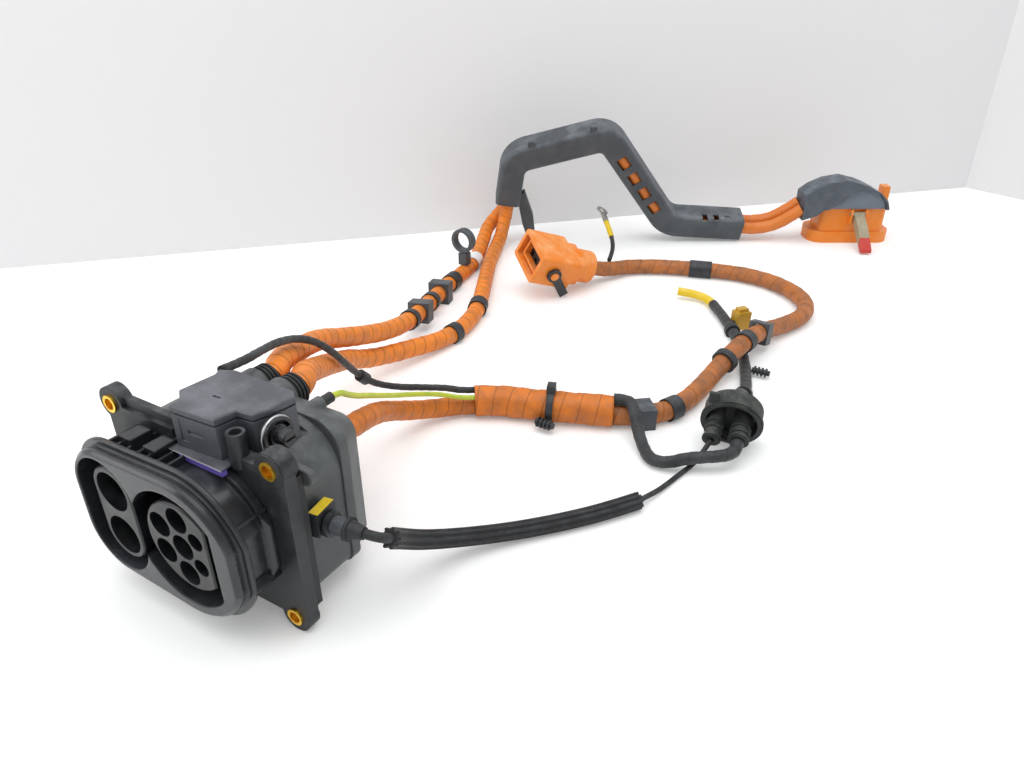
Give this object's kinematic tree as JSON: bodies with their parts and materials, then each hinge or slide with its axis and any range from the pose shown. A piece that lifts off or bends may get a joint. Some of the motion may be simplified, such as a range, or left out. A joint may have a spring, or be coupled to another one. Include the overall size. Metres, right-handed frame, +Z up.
{
  "type": "vehicle charging inlet with high-voltage harness",
  "caption": "Vehicle charging inlet with combined AC and DC contacts, locking actuator, orange high-voltage cables, taped branch, arched cable duct, and two orange connectors.",
  "frame": {"origin": "middle of the footprint of the inlet, on the surface it stands on", "axes": "+Z up; -Y out of the charging face; +X from the DC contacts towards the AC contacts"},
  "size_m": [0.3954, 0.8313, 0.1408],
  "materials": {
    "black_plastic": "moulded, fine grain, slightly dusty",
    "black_gloss": "moulded, smooth",
    "brass": "turned, dull",
    "pin_silver": "silver plated",
    "seal_rubber": "soft seal",
    "seal_grey": "flat gasket",
    "black_rubber": "moulded",
    "motor_steel": "plain",
    "white_plastic": "moulded",
    "orange_plastic": "moulded",
    "orange_tape": "wound harness tape, worn",
    "violet_plastic": "moulded",
    "orange_sheath": "cable sheath, faint marks",
    "wire_steel": "drawn",
    "screw_steel": "zinc plated",
    "black_tape": "wound harness tape",
    "yellow_green": "earth wire sheath",
    "white_label": "blank label",
    "grey_plastic": "moulded",
    "dark_grey_plastic": "moulded",
    "grommet_rubber": "moulded, dusty",
    "yellow_plastic": "moulded",
    "duct_grey": "moulded, dusty",
    "pale_grey": "moulded",
    "beige_plastic": "moulded, slightly translucent",
    "red_plastic": "moulded"
  },
  "bodies": {
    "inlet_and_harness": {"front_housing": "black_plastic", "mounting_frame": "black_plastic", "ear_bushings": "brass", "ac_contact_block": "black_gloss", "dc_contact_block": "black_gloss", "ac_pins": "pin_silver", "dc_pins": "pin_silver", "rear_housing": "black_plastic", "frame_seal": "seal_rubber", "rear_cover": "black_plastic", "dc_cable_collars": "black_rubber", "ac_gland": "black_rubber", "actuator_housing": "black_plastic", "actuator_lid": "black_plastic", "actuator_gasket": "seal_grey", "guide_strip": "violet_plastic", "lock_motor": "motor_steel", "release_wire_ring": "wire_steel", "housing_screws": "screw_steel", "cable_socket": "black_plastic", "cable_ferrule": "wire_steel", "cable_boot": "black_rubber", "guide_eye": "black_plastic", "dc_cable_upper": "orange_tape", "dc_cable_lower": "orange_tape", "ac_cable_inlet": "orange_tape", "harness_wrap": "orange_tape", "ac_cable_outer": "orange_tape", "earth_wire": "yellow_green", "actuator_lead": "black_tape", "signal_lead": "black_tape", "ribbed_sleeve": "black_rubber", "release_cable": "black_rubber", "tape_bands": "black_tape", "label_band": "white_label", "clip_plates": "grey_plastic", "earth_stub": "black_rubber", "grommet": "grommet_rubber", "rear_lead": "black_tape", "yellow_sleeve": "yellow_plastic", "coding_plug": "yellow_plastic", "cable_duct": "duct_grey", "duct_cables": "orange_sheath", "dc_boot": "grommet_rubber", "dc_shroud": "pale_grey", "dc_connector_housing": "orange_plastic", "ac_connector_housing": "orange_plastic", "ac_connector_insert": "black_gloss", "bond_wire": "black_rubber", "ring_terminal": "pin_silver", "cable_clips": "dark_grey_plastic", "ring_clamp": "grey_plastic"},
    "release_gear": {"lock_gear": "white_plastic", "release_wheel": "orange_plastic"},
    "motor_pinion": {"motor_pinion": "pin_silver"},
    "lock_pin": {"lock_pin": "pin_silver"},
    "locking_clip": {"locking_clip": "white_plastic"},
    "dc_handle": {"dc_handle": "beige_plastic", "dc_handle_tip": "red_plastic"},
    "ac_lever": {"ac_connector_lever": "dark_grey_plastic"}
  },
  "joints": [
    {"name": "release_turn", "type": "hinge", "parent": "inlet_and_harness", "child": "release_gear", "pos_m": [0.0025, -0.0055, 0.104], "axis": [1, 0, 0], "range_deg": [0, 60]},
    {"name": "motor_turn", "type": "hinge", "parent": "inlet_and_harness", "child": "motor_pinion", "pos_m": [0.0025, 0.0032, 0.104], "axis": [1, 0, 0], "range_deg": [-170, 0]},
    {"name": "lock_pin_slide", "type": "slide", "parent": "inlet_and_harness", "child": "lock_pin", "axis": [0, 0, -1], "range_m": [0, 0.0065]},
    {"name": "clip_slide", "type": "slide", "parent": "inlet_and_harness", "child": "locking_clip", "axis": [0, 0, 1], "range_m": [0, 0.005]},
    {"name": "dc_handle_lift", "type": "hinge", "parent": "inlet_and_harness", "child": "dc_handle", "pos_m": [0.17279, 0.72689, 0.034], "axis": [-0.855, -0.5186, 0], "range_deg": [0, 60]},
    {"name": "ac_lever_turn", "type": "hinge", "parent": "inlet_and_harness", "child": "ac_lever", "pos_m": [-0.0575, 0.41607, 0.03623], "axis": [-0.7244, 0.5914, 0.3542], "range_deg": [0, 90]}
  ],
  "couplings": [
    {"joint": "motor_turn", "follows": "release_turn", "ratio": -2.8182},
    {"joint": "lock_pin_slide", "follows": "release_turn", "m_per_rad": 0.0062}
  ]
}
